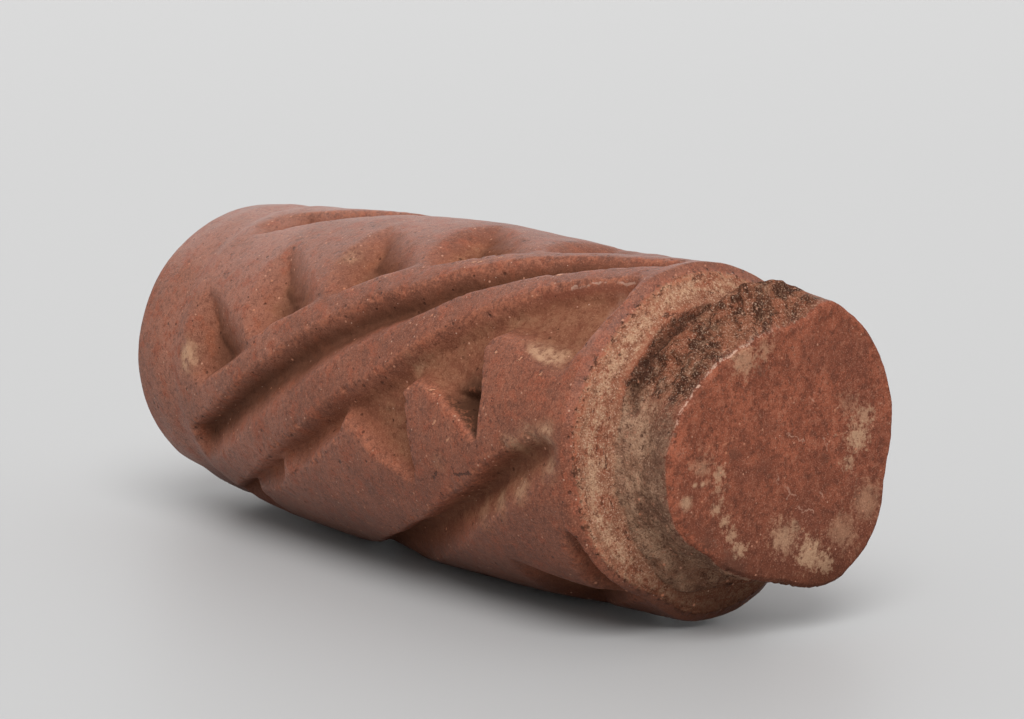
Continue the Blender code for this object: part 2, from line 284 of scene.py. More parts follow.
def hoop(out, radius, shift=0.0, rise=0.0):
    """One ring of points, by how far out beyond the near rim it lies and how wide it is."""
    ring = np.empty((COLUMNS, 3))
    ring[:, 0] = NEAR_RIM_X + out
    ring[:, 1] = radius * np.cos(turn) + shift
    ring[:, 2] = AXIS_HEIGHT + radius * np.sin(turn) + rise
    return ring


# The near boss is an uneven round, off the roller's middle. Its upper front side broke off at a slant.
BOSS_SHIFT = 2.9
BOSS_RISE = 1.3
BOSS_REACH = (
    (0, 12.6), (8, 12.7), (24, 12.6), (40, 12.6), (56, 12.6), (65, 12.7), (80, 13.0), (95, 12.8),
    (122, 12.4), (146, 12.0), (161, 11.9), (178, 12.4), (190, 12.9), (202, 13.3), (213, 13.3),
    (225, 12.9), (238, 12.5), (253, 12.4), (270, 12.6), (280, 13.6), (288, 14.3), (296, 14.7),
    (304, 14.75), (312, 14.6), (320, 14.2), (328, 13.6), (336, 12.9), (344, 12.6),
)
FACE_REACH = (
    (0, 12.5), (8, 12.6), (24, 12.5), (40, 12.5), (56, 12.4), (64, 12.3), (70, 11.7), (76, 10.3),
    (82, 9.6), (89, 9.3), (95, 9.35), (102, 9.1), (110, 9.2), (117, 9.05), (124, 9.4), (129, 9.4),
    (134, 9.8), (146, 10.3), (157, 10.9), (165, 11.6), (174, 11.8), (181, 12.4), (190, 12.75),
    (202, 13.1), (210, 13.2), (219, 12.9), (230, 12.4), (253, 12.3), (270, 12.5), (280, 13.5),
    (288, 14.2), (296, 14.6), (304, 14.65), (312, 14.5), (320, 14.1), (328, 13.5), (336, 12.8),
    (344, 12.5),
)
NECK_REACH = (
    (0, 11.6), (40, 12.4), (70, 12.0), (90, 11.5), (112, 11.5), (122, 11.2), (138, 10.8), (148, 10.6),
    (161, 10.0), (179, 9.9), (195, 10.3), (207, 10.1), (222, 10.7), (231, 10.9), (241, 11.6),
    (252, 12.0), (273, 12.0), (310, 12.2),
)
BREAK_DIRECTION = 122
BREAK_AT_BACK = 11.6

# How far out from the rims the edges of the bosses lie, how far the rims are rounded over, and a
# ring so small that it closes to a point
FACE_EDGE = 6.4
BOSS_BACK = 2.9
FAR_BOSS_EDGE = 5.4
NEAR_RIM_ROUNDING = 0.55
FAR_RIM_ROUNDING = 0.5
PINPOINT = 0.02

boss_reach = round_table(BOSS_REACH)
facing_break = np.maximum(np.cos(np.radians(angle - BREAK_DIRECTION)), 0.1)
back_reach = np.minimum(boss_reach, BREAK_AT_BACK / facing_break)
face_reach = np.minimum(round_table(FACE_REACH, 2), back_reach - 0.1)
neck_reach = round_table(NECK_REACH)
rim_reach = round_table(NEAR_RIM_REACH)
rim_start = round_table(NEAR_RIM_START, 60)
far_reach = round_table(FAR_RIM_REACH, 30)
broken = ramp(back_reach - face_reach, 0.4, 1.6)

hoops = [
    hoop(NEAR_BOSS_LENGTH, PINPOINT, BOSS_SHIFT, BOSS_RISE),
    hoop(NEAR_BOSS_LENGTH, face_reach - 0.35, BOSS_SHIFT, BOSS_RISE),
    hoop(FACE_EDGE, face_reach, BOSS_SHIFT, BOSS_RISE),
    hoop(BOSS_BACK, back_reach, BOSS_SHIFT, BOSS_RISE),
    hoop(1.7, neck_reach + 0.05),
    hoop(0.95, neck_reach + 0.55),
    hoop(0.5 - 0.5 * rim_start, (neck_reach + rim_reach) / 2 - 0.1),
    hoop(-rim_start + 0.15, rim_reach - 0.8),
    hoop(-rim_start - NEAR_RIM_ROUNDING, rim_reach),
]
ROWS_BETWEEN = (80, 5, 28, 12, 6, 14, 14, 8)

# A row's station says which hoops it lies between: 0 to 2 on the boss face, 2 to 3 on the boss's
# side, 3 to 5 round the neck, 5 to 8 on the shoulder and the rim, and 8 to 9 on the roller's side
SIDE_STATION = len(ROWS_BETWEEN)
rows = []
station = []
for number, (start, end, count) in enumerate(zip(hoops, hoops[1:], ROWS_BETWEEN)):
    rows += [start + (end - start) * step / count for step in range(count)]
    station += [number + step / count for step in range(count)]
near_rows = len(rows)

barrel_rows = round(ROLLER_LENGTH / ROW_STEP)
share = np.arange(barrel_rows + 1)[:, None] / barrel_rows
first_row = (rim_start + NEAR_RIM_ROUNDING)[None, :]
along = first_row * (1 - share) + (ROLLER_LENGTH - FAR_RIM_ROUNDING) * share
around = np.broadcast_to(angle[None, :], along.shape)
part = along / ROLLER_LENGTH
radius = NEAR_RADIUS * (1 - part) * (1 - 2 * part) + BELLY_RADIUS * 4 * part * (1 - part)
radius += FAR_RADIUS * part * (2 * part - 1)
rim_change = (rim_reach - NEAR_RADIUS)[None, :]
radius += np.minimum(rim_change, 0.15) * (1 - ramp(along, 0, 9))
radius += np.maximum(rim_change - 0.15, 0) * (1 - ramp(along, 1.0, 3.5))
radius += (far_reach - FAR_RADIUS)[None, :] * ramp(along, 60, 69)

# The side dips a little on top near the boss, and has a slight waist before the far rim
radius -= 0.5 * swell(apart(around, 88), 36) * swell(along - 18, 17)
radius -= 0.3 * ramp(along, 63.8, 66.2) * (1 - ramp(along, 66.6, 70.0))
side = np.empty(along.shape + (3,))
side[..., 0] = NEAR_RIM_X - along
side[..., 1] = radius * np.cos(turn)
side[..., 2] = AXIS_HEIGHT + radius * np.sin(turn)

# The cuts wander a little from their outlines, and their edges and floors are worn and uneven
wander_along = 0.22 * clay_noise(side, 6, 1) + 0.10 * clay_noise(side, 1.6, 2)
wander_around = 0.22 * clay_noise(side, 6, 3) + 0.10 * clay_noise(side, 1.6, 4)
cut, soil, grime_and_shade = carving(along + wander_along, around + wander_around / MM_PER_DEGREE)
worn = soften(cut, 4)
wide = soften(cut, 40)
depth = 0.88 * worn + 0.12 * wide
hollow = np.clip(depth / 1.4, 0, 1)
edge = np.clip((wide - worn) * 4, 0, 1)

# Soil lies thinner further along, and thickest in the trough near the rim
soil *= 1 - 0.5 * ramp(along, 16, 40) * (soil < 0.7)
soil = np.maximum(soil, 1.15 * swell(along - 6.3, 5.5) * swell(apart(around, 147.5), 12) * (soil > 0))
soil = np.clip(soften(soil, 6), 0, 1)
grime_and_shade = soften(grime_and_shade, 4)
depth += hollow * 0.14 * clay_noise(side * (0.45, 1, 1), 1.3, 5, 3)
depth += edge * 0.5 * np.clip(clay_noise(side, 0.9, 6, 3) - 0.25, 0, 1)
depth += 0.08 + 0.10 * clay_noise(side, 9, 7) + 0.035 * clay_noise(side, 2.2, 8)
radius = radius - np.maximum(depth, 0)
side[..., 1] = radius * np.cos(turn)
side[..., 2] = AXIS_HEIGHT + radius * np.sin(turn)
rows += list(side)
station += [SIDE_STATION + step / barrel_rows for step in range(barrel_rows + 1)]

far = [
    hoop(-ROLLER_LENGTH + FAR_RIM_ROUNDING, far_reach - 0.1),
    hoop(-ROLLER_LENGTH, far_reach - 0.7),
    hoop(-ROLLER_LENGTH - 0.5, 12.6),
    hoop(-ROLLER_LENGTH - 1.4, 10.8),
    hoop(-ROLLER_LENGTH - 2.6, 11.7),
    hoop(-ROLLER_LENGTH - FAR_BOSS_EDGE, 11.8),
    hoop(-ROLLER_LENGTH - FAR_BOSS_LENGTH, 11.2),
    hoop(-ROLLER_LENGTH - FAR_BOSS_LENGTH, PINPOINT),
]
FAR_ROWS_BETWEEN = (5, 12, 10, 8, 16, 5, 50)
for number, (start, end, count) in enumerate(zip(far, far[1:], FAR_ROWS_BETWEEN)):
    rows += [start + (end - start) * step / count for step in range(1, count + 1)]
    station += [SIDE_STATION + 1 + number + step / count for step in range(1, count + 1)]

form = np.array(rows)
station = np.broadcast_to(np.array(station)[:, None], form.shape[:2]).copy()
ends = np.ones(form.shape[:2])
ends[near_rows:near_rows + barrel_rows + 1] = 0
form[1:-1] = form[1:-1] * 0.5 + (form[:-2] + form[2:]) * 0.25


def outward(points):
    """Directions straight out of the surface at every point of the grid."""
    round_way = np.roll(points, -1, axis=1) - np.roll(points, 1, axis=1)
    long_way = np.gradient(points, axis=0)
    out = np.cross(round_way, long_way)
    size = np.linalg.norm(out, axis=2, keepdims=True)
    return out / np.maximum(size, 1e-6)


# Relief of the ends: a layered, crumbled crust on the break and round the boss, and soft wear elsewhere
is_boss_side = ramp(station, 1.6, 2.3) * (1 - ramp(station, 4.6, 5.4))
under_face = ramp(np.abs(apart(angle, 258)), 70, 30)
rough = is_boss_side * np.clip(0.35 + 0.65 * broken + 0.5 * under_face, 0, 1)[None, :]
from_boss = np.hypot(form[..., 1] - BOSS_SHIFT, form[..., 2] - AXIS_HEIGHT - BOSS_RISE)
layers = np.stack([from_boss * 0.6 + form[..., 0], form[..., 1] * 0.25, form[..., 2] * 0.25], axis=2)
near_end = slice(0, near_rows)
crumble = np.zeros(form.shape[:2])
crumble[near_end] += 0.45 * np.abs(clay_noise(layers[near_end], 0.7, 11, 3)) - 0.15
lumps = 0.25 * clay_noise(form[near_end], 0.8, 12, 3) + 0.30 * clay_noise(form[near_end], 2.2, 16)
crumble[near_end] += lumps
move = -rough * crumble * (1 - 0.6 * swell(apart(angle, 75), 30))[None, :]
move -= 0.45 * broken[None, :] * swell(station - 4.3, 0.6)
move += 0.16 * broken[None, :] * swell(station - 5.15, 0.4)
soft = np.zeros(form.shape[:2])
for rows_here in (near_end, slice(near_rows + barrel_rows, len(form))):
    here = form[rows_here]
    soft[rows_here] = 0.10 * clay_noise(here, 3.5, 13) + 0.06 * clay_noise(here, 0.9, 14, 3)
is_face = 1 - ramp(station, 2.0, 2.4)
move -= ends * soft * (1 - 0.5 * is_face)
move[near_end] -= 0.22 * (swell(station - 7.0, 0.9) * np.clip(clay_noise(form, 0.7, 15, 3), 0, 1))[near_end]
move = soften(move, 1)
normals = outward(form)
on_barrel = near_rows + 40
from_axis = form[on_barrel, :, 1:] - (0, AXIS_HEIGHT)
face_outward = np.sign((normals[on_barrel, :, 1:] * from_axis).sum())
form += normals * face_outward * move[..., None]

for axis in range(3):
    form[..., axis] = np.clip(form[..., axis], low[axis] / MM + 0.005, high[axis] / MM - 0.005)

marks = {"station": station, "rough": rough}
for name, field in (("hollow", hollow), ("edge", edge), ("soil", soil), ("grime_and_shade", grime_and_shade)):
    marks[name] = np.zeros(form.shape[:2])
    marks[name][near_rows:near_rows + barrel_rows + 1] = field

bpy.ops.object.select_all(action="DESELECT")
bpy.ops.mesh.primitive_grid_add(x_subdivisions=COLUMNS, y_subdivisions=len(form) - 1, size=1)
stamp = bpy.context.object
stamp.name = "carved_roller_stamp"
mesh = stamp.data
closed = np.concatenate([form, form[:, :1]], axis=1) * MM
mesh.vertices.foreach_set("co", closed.astype(np.float32).ravel())
for name, field in marks.items():
    closed = np.concatenate([field, field[:, :1]], axis=1).astype(np.float32)
    mesh.attributes.new(name, "FLOAT", "POINT").data.foreach_set("value", closed.ravel())
bpy.ops.object.mode_set(mode="EDIT")
bpy.ops.mesh.select_all(action="SELECT")
bpy.ops.mesh.remove_doubles(threshold=PINPOINT * MM)
bpy.ops.mesh.normals_make_consistent(inside=False)
bpy.ops.object.mode_set(mode="OBJECT")
thin = stamp.modifiers.new("thin", "DECIMATE")
thin.ratio = MOST_TRIANGLES / (2 * form.shape[0] * COLUMNS)
bpy.ops.object.modifier_apply(modifier="thin")
bpy.ops.object.shade_smooth()

# Fired clay: red-brown and burnished on top, tan with soil in the hollows, orange where it has worn
clay = bpy.data.materials.new("burnished_red_clay")
clay.use_nodes = True
nodes = clay.node_tree.nodes
links = clay.node_tree.links
shader = nodes["Principled BSDF"]
shader.inputs["Specular IOR Level"].default_value = 0.22


def feed(socket, value):
    if isinstance(value, bpy.types.NodeSocket):
        links.new(value, socket)
    elif isinstance(value, tuple) and len(value) == 3 and socket.type == "RGBA":
        socket.default_value = (*value, 1)
    else:
        socket.default_value = value


def maths(operation, one, two=0.0, three=0.0):
    made = nodes.new("ShaderNodeMath")
    made.operation = operation
    for socket, value in zip(made.inputs, (one, two, three)):
        feed(socket, value)
    return made.outputs[0]


def vector_maths(operation, one, two=(0, 0, 0)):
    made = nodes.new("ShaderNodeVectorMath")
    made.operation = operation
    feed(made.inputs[0], one)
    feed(made.inputs[3 if operation == "SCALE" else 1], two)
    return made.outputs[1] if operation in ("LENGTH", "DISTANCE", "DOT_PRODUCT") else made.outputs[0]


def between(value, start, end):
    """Rises smoothly from 0 to 1 as the value goes from start to end."""
    made = nodes.new("ShaderNodeMapRange")
    made.interpolation_type = "SMOOTHSTEP"
    feed(made.inputs["Value"], value)
    feed(made.inputs["From Min"], start)
    feed(made.inputs["From Max"], end)
    return made.outputs["Result"]


def cloud(place, size, detail=3.0, roughness=0.6):
    made = nodes.new("ShaderNodeTexNoise")
    feed(made.inputs["Vector"], place)
    feed(made.inputs["Scale"], 1 / size)
    feed(made.inputs["Detail"], detail)
    feed(made.inputs["Roughness"], roughness)
    return made.outputs["Fac"]


def grains(place, size):
    """Cells of the given size: how far each place is from its cell's seed, and the cell's own value."""
    made = nodes.new("ShaderNodeTexVoronoi")
    feed(made.inputs["Vector"], place)
    feed(made.inputs["Scale"], 1 / size)
    split = nodes.new("ShaderNodeSeparateColor")
    links.new(made.outputs["Color"], split.inputs["Color"])
    return made.outputs["Distance"], split.outputs[0], split.outputs[1]


def blend(share, under, over):
    made = nodes.new("ShaderNodeMix")
    made.data_type = "RGBA"
    feed(made.inputs["Factor"], share)
    feed(made.inputs[6], under)
    feed(made.inputs[7], over)
    return made.outputs[2]


def mark(name):
    made = nodes.new("ShaderNodeAttribute")
    made.attribute_name = name
    return made.outputs["Fac"]


def unless(value):
    return maths("SUBTRACT", 1.0, value)


def both(one, two):
    return maths("MULTIPLY", one, two)


def strongest(fields):
    top = 0.0
    for field in fields:
        top = maths("MAXIMUM", top, field)
    return top


def around_value(value, middle, outer, inner=0.1):
    """1 where the value is close to the middle, and 0 further off than outer."""
    return between(maths("ABSOLUTE", maths("SUBTRACT", value, middle)), outer, inner)


coordinates = nodes.new("ShaderNodeTexCoord")
place = vector_maths("SCALE", coordinates.outputs["Object"], 1 / MM)
split = nodes.new("ShaderNodeSeparateXYZ")
links.new(place, split.inputs[0])
flat = nodes.new("ShaderNodeCombineXYZ")
links.new(split.outputs["Y"], flat.inputs["Y"])
links.new(maths("SUBTRACT", split.outputs["Z"], AXIS_HEIGHT), flat.inputs["Z"])
reach = vector_maths("LENGTH", flat.outputs[0])
direction = vector_maths("NORMALIZE", flat.outputs[0])
ringed = nodes.new("ShaderNodeCombineXYZ")
links.new(maths("MULTIPLY_ADD", split.outputs["X"], 0.5, reach), ringed.inputs["X"])
streak_place = vector_maths("ADD", vector_maths("SCALE", direction, 2.5), ringed.outputs[0])
from_boss = vector_maths("SUBTRACT", place, (NEAR_RIM_X, BOSS_SHIFT, AXIS_HEIGHT + BOSS_RISE))
layered = nodes.new("ShaderNodeSeparateXYZ")
links.new(from_boss, layered.inputs[0])
boss_flat = vector_maths("MULTIPLY", from_boss, (0, 1, 1))
layer_place = nodes.new("ShaderNodeCombineXYZ")
out_from_boss = maths("MULTIPLY_ADD", vector_maths("LENGTH", boss_flat), 0.6, layered.outputs["X"])
links.new(out_from_boss, layer_place.inputs["X"])
round_boss = vector_maths("SCALE", vector_maths("NORMALIZE", boss_flat), 3.0)
layer_place = vector_maths("ADD", round_boss, layer_place.outputs[0])

at = mark("station")
is_rough = mark("rough")
in_hollow = mark("hollow")
on_edge = mark("edge")
soil_mark = mark("soil")
grime_and_shade_mark = mark("grime_and_shade")
broad = cloud(place, 7, 2)
medium = cloud(place, 1.7, 4, 0.65)
fine = cloud(vector_maths("ADD", place, (3.1, 7.7, 1.3)), 0.5, 4, 0.75)
finest = cloud(place, 0.14, 1)
streaks = cloud(streak_place, 0.45, 4, 0.75)
dark_speck = between(finest, 0.47, 0.28)
light_speck = between(finest, 0.54, 0.76)


def mottled(ground, *layers):
    """Mottles a colour. A layer is a field, where it starts and is full, its strength and its colour."""
    for field, start, full, strength, over in layers:
        ground = blend(both(between(field, start, full), strength), ground, over)
    return ground


def speckled(ground, dark, dark_colour, light, light_colour):
    ground = blend(both(dark_speck, dark), ground, dark_colour)
    return blend(both(light_speck, light), ground, light_colour)


def wavered(value, amount):
    """A value with its borders made ragged by the clay's grain."""
    return maths("MULTIPLY_ADD", maths("SUBTRACT", fine, 0.5), amount, value)


def facing(way, start, full):
    """1 on the side of the roller that faces the given way."""
    return between(vector_maths("DOT_PRODUCT", direction, way), start, full)


# Red-brown clay, mottled, and paler towards the far end
further = between(split.outputs["X"], 15, -25)
near_clay = blend(between(broad, 0.35, 0.65), (0.188, 0.061, 0.034), (0.250, 0.085, 0.048))
far_clay = blend(between(broad, 0.35, 0.65), (0.235, 0.090, 0.055), (0.300, 0.118, 0.075))
colour = mottled(
    blend(further, near_clay, far_clay),
    (medium, 0.48, 0.66, 1.0, (0.265, 0.075, 0.039)),
    (medium, 0.46, 0.34, 0.5, (0.165, 0.062, 0.038)),
    (fine, 0.50, 0.34, 0.8, (0.115, 0.037, 0.021)),
    (fine, 0.55, 0.70, 0.5, (0.36, 0.140, 0.082)),
)
colour = speckled(colour, 0.6, (0.095, 0.031, 0.018), 0.55, (0.42, 0.180, 0.110))

bent = vector_maths("SUBTRACT", cloud(place, 0.8, 2), (0.5, 0.5, 0.5))
bent = vector_maths("SCALE", bent, 1.6)


def stroke(over, start, end, width, unevenness=0.9):
    """A fine line from one spot to another, on a surface laid out flat."""
    run = (end[0] - start[0], end[1] - start[1], 0)
    from_start = vector_maths("SUBTRACT", over, (*start, 0))
    length = run[0] ** 2 + run[1] ** 2
    share = vector_maths("DOT_PRODUCT", from_start, (run[0] / length, run[1] / length, 0))
    held = maths("MINIMUM", maths("MAXIMUM", share, 0.0), 1.0)
    away = vector_maths("SUBTRACT", from_start, vector_maths("SCALE", run, held))
    away = vector_maths("LENGTH", vector_maths("MULTIPLY", away, (1, 1, 0)))
    return between(wavered(away, unevenness), width, width * 0.3)


# A painted purple-grey sheen on top at the far end
painted_top_sheen = both(both(further, facing((0, 0, 1), 0.2, 0.9)), between(broad, 0.35, 0.6))
colour = blend(both(painted_top_sheen, 0.25), colour, (0.285, 0.140, 0.110))

# The roller's side laid out flat, by how far along and how far round
unrolled = nodes.new("ShaderNodeCombineXYZ")
links.new(maths("SUBTRACT", NEAR_RIM_X, split.outputs["X"]), unrolled.inputs["X"])
round_it = maths("ARCTAN2", maths("SUBTRACT", split.outputs["Z"], AXIS_HEIGHT), split.outputs["Y"])
links.new(both(round_it, math.degrees(MM_PER_DEGREE)), unrolled.inputs["Y"])
unrolled = vector_maths("ADD", unrolled.outputs[0], vector_maths("SCALE", bent, 0.5))
on_side = between(at, SIDE_STATION - 0.1, SIDE_STATION + 0.1)


def side_stroke(start, end, width, unevenness=0.9):
    ends = [(place, apart(degrees, 0) * MM_PER_DEGREE) for place, degrees in (start, end)]
    return both(stroke(unrolled, *ends, width, unevenness), on_side)


# Soil in the hollows; hollows painted darker as shade, and dark grime and painted shade in the deepest
uneven = maths("MULTIPLY_ADD", fine, 0.45, maths("MULTIPLY_ADD", broad, 0.4, medium))
soil_amount = maths("MULTIPLY_ADD", soil_mark, 0.55, uneven)
soil_cover = both(between(soil_mark, 0.0, 0.35), between(soil_amount, 0.95, 1.65))
# Painted shade: the hollows of the carving are darker
colour = blend(both(in_hollow, 0.4), colour, (0.175, 0.062, 0.034))
soil_colour = mottled(
    blend(between(soil_mark, 0.40, 0.95), (0.265, 0.135, 0.077), (0.46, 0.268, 0.160)),
    (medium, 0.50, 0.36, 0.6, (0.20, 0.083, 0.046)),
    (fine, 0.49, 0.36, 0.65, (0.13, 0.055, 0.031)),
)
soil_colour = blend(both(light_speck, 0.4), soil_colour, (0.50, 0.30, 0.19))
colour = blend(both(soil_cover, 0.9), colour, soil_colour)
# Painted shadow in the notch beside the tooth, where the tooth blocks the light
painted_notch_shadow = both(between(reach, 15.7, 15.1), side_stroke((14.9, 168.0), (12.6, 179.5), 4.0, 0.5))
grime_and_shade_cover = maths("MAXIMUM", both(grime_and_shade_mark, 0.78), painted_notch_shadow)
colour = blend(grime_and_shade_cover, colour, blend(fine, (0.045, 0.018, 0.010), (0.11, 0.046, 0.026)))

# Edges worn to fresh orange clay
worn_here = both(between(on_edge, 0.2, 0.8), between(fine, 0.48, 0.62))
colour = blend(both(worn_here, 0.5), colour, (0.37, 0.125, 0.066))

# The shoulder between the boss and the rim: tan soil, red streaks and an orange worn lip
wavy = wavered(maths("MULTIPLY_ADD", maths("SUBTRACT", medium, 0.5), 0.7, at), 0.9)
on_shoulder = both(between(wavy, 4.6, 5.1), unless(between(wavy, 6.8, 7.2)))
streaked = maths("MULTIPLY_ADD", streaks, 0.7, maths("MULTIPLY_ADD", medium, 0.7, both(fine, 0.6)))
red_band = maths("MAXIMUM", around_value(wavy, 5.3, 0.85, 0.35), both(around_value(wavy, 6.6, 0.25), 0.8))
shoulder = mottled(
    blend(between(streaked, 0.84, 1.12), (0.27, 0.088, 0.048), (0.43, 0.245, 0.150)),
    (streaks, 0.41, 0.55, both(red_band, 0.8), (0.215, 0.076, 0.043)),
    (streaks, 0.43, 0.36, both(red_band, 0.85), (0.075, 0.030, 0.019)),
    (fine, 0.46, 0.34, 0.75, (0.11, 0.045, 0.027)),
    (fine, 0.56, 0.70, 0.5, (0.54, 0.33, 0.215)),
)
shoulder = speckled(shoulder, 0.55, (0.12, 0.050, 0.030), 0.6, (0.62, 0.41, 0.29))
colour = blend(on_shoulder, colour, shoulder)
on_lip = around_value(wavy, 7.0, 0.45)
colour = blend(both(both(on_lip, 0.75), between(fine, 0.48, 0.60)), colour, (0.32, 0.098, 0.052))
colour = blend(both(on_lip, between(fine, 0.47, 0.38)), colour, (0.08, 0.030, 0.018))

# The crust: layered and crumbling, with painted shade darkest in the crevice round the neck
crust_mix = cloud(layer_place, 0.6, 5, 0.75)
crust = mottled(
    blend(between(crust_mix, 0.40, 0.62), (0.050, 0.019, 0.011), (0.235, 0.090, 0.050)),
    (medium, 0.50, 0.62, 0.75, (0.26, 0.088, 0.048)),
    (medium, 0.44, 0.34, 0.4, (0.26, 0.140, 0.086)),
    (fine, 0.56, 0.68, 0.7, (0.38, 0.205, 0.128)),
    (fine, 0.46, 0.34, 0.8, (0.050, 0.020, 0.012)),
)
crust = speckled(crust, 0.6, (0.040, 0.017, 0.010), 0.6, (0.52, 0.35, 0.25))
crevice_shade = both(around_value(at, 4.1, 0.9, 0.2), between(broad, 0.42, 0.52))
crust = blend(both(crevice_shade, 0.6), crust, (0.045, 0.020, 0.013))
colour = blend(between(wavered(is_rough, 0.8), 0.2, 0.5), colour, crust)

# The cove behind the boss, dusty grey-brown, with a worn ridge along its top
all_grain = maths("ADD", fine, maths("ADD", medium, broad))
low_front = vector_maths("DOT_PRODUCT", direction, (0, -0.85, -0.53))
toward_cove = between(maths("MULTIPLY_ADD", all_grain, 0.5, low_front), 1.12, 1.42)
cove = both(unless(between(wavy, 4.8, 5.3)), both(between(at, 1.8, 2.1), toward_cove))
under_edge = both(between(wavy, 3.2, 2.3), between(broad, 0.62, 0.5))
cove_colour = blend(between(medium, 0.40, 0.62), (0.222, 0.110, 0.067), (0.37, 0.217, 0.136))
cove_colour = mottled(
    blend(both(under_edge, 0.65), cove_colour, (0.110, 0.054, 0.035)),
    (fine, 0.56, 0.66, 0.6, (0.36, 0.150, 0.090)),
    (fine, 0.48, 0.36, 0.8, (0.09, 0.040, 0.025)),
)
cove_colour = speckled(cove_colour, 0.6, (0.07, 0.031, 0.019), 0.5, (0.46, 0.30, 0.205))
colour = blend(both(cove, 0.92), colour, cove_colour)
at_top = both(between(medium, 0.40, 0.52), facing((0, -0.64, 0.77), 0.82, 0.95))
inner_ridge = both(around_value(wavy, 5.2, 0.35), at_top)
colour = blend(both(inner_ridge, 0.5), colour, (0.28, 0.085, 0.046))

# The boss face, with smears of tan soil, and painted shade making it darker towards the bottom
on_face = unless(between(wavered(at, 1.6), 1.7, 2.1))
mottles = cloud(vector_maths("ADD", place, (5.3, 2.9, 8.1)), 0.9, 3, 0.7)
face = mottled(
    blend(between(medium, 0.38, 0.62), (0.196, 0.058, 0.033), (0.292, 0.087, 0.048)),
    (mottles, 0.49, 0.37, 0.6, (0.105, 0.037, 0.024)),
    (mottles, 0.54, 0.66, 0.35, (0.36, 0.150, 0.092)),
    (split.outputs["Z"], 18, 6, 0.65, (0.110, 0.037, 0.023)),
    (broad, 0.5, 0.35, 0.5, (0.160, 0.053, 0.033)),
    (fine, 0.49, 0.33, 0.75, (0.095, 0.032, 0.020)),
    (fine, 0.54, 0.70, 0.5, (0.36, 0.160, 0.100)),
)
face = speckled(face, 0.4, (0.095, 0.034, 0.021), 0.45, (0.44, 0.215, 0.145))
colour = blend(on_face, colour, face)
ragged = maths("MULTIPLY_ADD", medium, 1.3, maths("MULTIPLY_ADD", fine, 2.0, -1.65))


def patch(y, z, size, raggedness=1.0):
    """A ragged round patch on the face, 1 in its middle."""
    away = vector_maths("DISTANCE", place, (high.x / MM, y, z))
    away = maths("MULTIPLY_ADD", ragged, -1.9 * raggedness * min(size, 1.5), away)
    return between(away, size, size * 0.1)


# Smears of tan soil and dark smudges: their place across and up the face, their size and strength
FACE_PATCHES = (
    (11.0, 16.6, 2.0, 0.85), (11.9, 18.6, 1.3, 0.6), (10.2, 14.6, 1.0, 0.6), (5.9, 7.2, 1.9, 0.9),
    (3.0, 8.8, 2.2, 0.6), (7.7, 6.2, 1.3, 0.85), (12.3, 11.0, 2.6, 0.35), (-4.2, 15.0, 0.9, 0.6),
    (-4.3, 13.6, 0.7, 0.6), (-4.3, 12.3, 0.9, 0.65), (-3.6, 10.9, 0.8, 0.65), (-2.7, 9.7, 0.8, 0.6),
    (-1.8, 8.5, 1.0, 0.7), (-1.7, 24.3, 1.8, 0.5), (0.6, 25.2, 1.4, 0.4), (-6.0, 15.8, 1.6, 0.3),
    (9.5, 8.5, 2.5, 0.35), (10.0, 19.8, 1.6, 0.25),
)
FACE_SMUDGES = (
    (-2.6, 16.5, 0.9, 0.5), (7.3, 15.1, 0.9, 0.5), (0.0, 23.3, 0.9, 0.5), (4.3, 9.6, 0.7, 0.5),
    (-2.6, 6.8, 2.4, 0.6), (-5.6, 9.0, 1.6, 0.5), (0.8, 15.0, 1.2, 0.3),
)
ROUND_SPOTS = ((-7.7, 13.0, 0.95), (-6.8, 14.4, 0.4), (-6.0, 14.4, 0.4))
smudge = strongest(both(patch(y, z, size), strength) for y, z, size, strength in FACE_SMUDGES)
colour = blend(both(smudge, on_face), colour, (0.085, 0.038, 0.026))
smear = strongest(both(patch(y, z, size), strength) for y, z, size, strength in FACE_PATCHES)
round_spot = strongest(both(patch(y, z, size, 0.3), 0.75) for y, z, size in ROUND_SPOTS)
smear = maths("MAXIMUM", smear, round_spot)
smear = both(both(smear, on_face), maths("MULTIPLY_ADD", finest, 0.9, 0.55))
colour = blend(smear, colour, (0.44, 0.265, 0.164))

# Fine crooked scratches on the face
over_face = nodes.new("ShaderNodeCombineXYZ")
links.new(split.outputs["Y"], over_face.inputs["X"])
links.new(split.outputs["Z"], over_face.inputs["Y"])
over_face = vector_maths("ADD", over_face.outputs[0], vector_maths("SCALE", bent, 0.6))
FACE_SCRATCHES = (
    ((3.0, 13.2), (3.6, 12.6), 0.10), ((3.6, 12.6), (4.1, 12.2), 0.10), ((3.6, 12.6), (3.2, 12.2), 0.08),
    ((4.4, 11.2), (6.3, 10.7), 0.10), ((3.2, 17.8), (5.0, 16.9), 0.08), ((7.1, 16.8), (7.7, 15.9), 0.08),
    ((2.0, 14.2), (2.3, 13.6), 0.08), ((7.0, 12.4), (7.4, 11.8), 0.08), ((5.7, 20.6), (6.1, 20.2), 0.10),
)
lines = strongest(stroke(over_face, start, end, width * 1.2, 0.5) for start, end, width in FACE_SCRATCHES)
hair = both(around_value(cloud(place, 1.5, 2), 0.5, 0.014, 0.003), between(medium, 0.54, 0.62))
lines = maths("MAXIMUM", lines, both(hair, 0.35))
colour = blend(both(both(lines, on_face), 0.45), colour, (0.48, 0.27, 0.19))
dots = both(stroke(over_face, (-6.3, 17.3), (-2.6, 17.8), 0.3), between(fine, 0.5, 0.6))
colour = blend(both(dots, on_face), colour, (0.42, 0.165, 0.095))

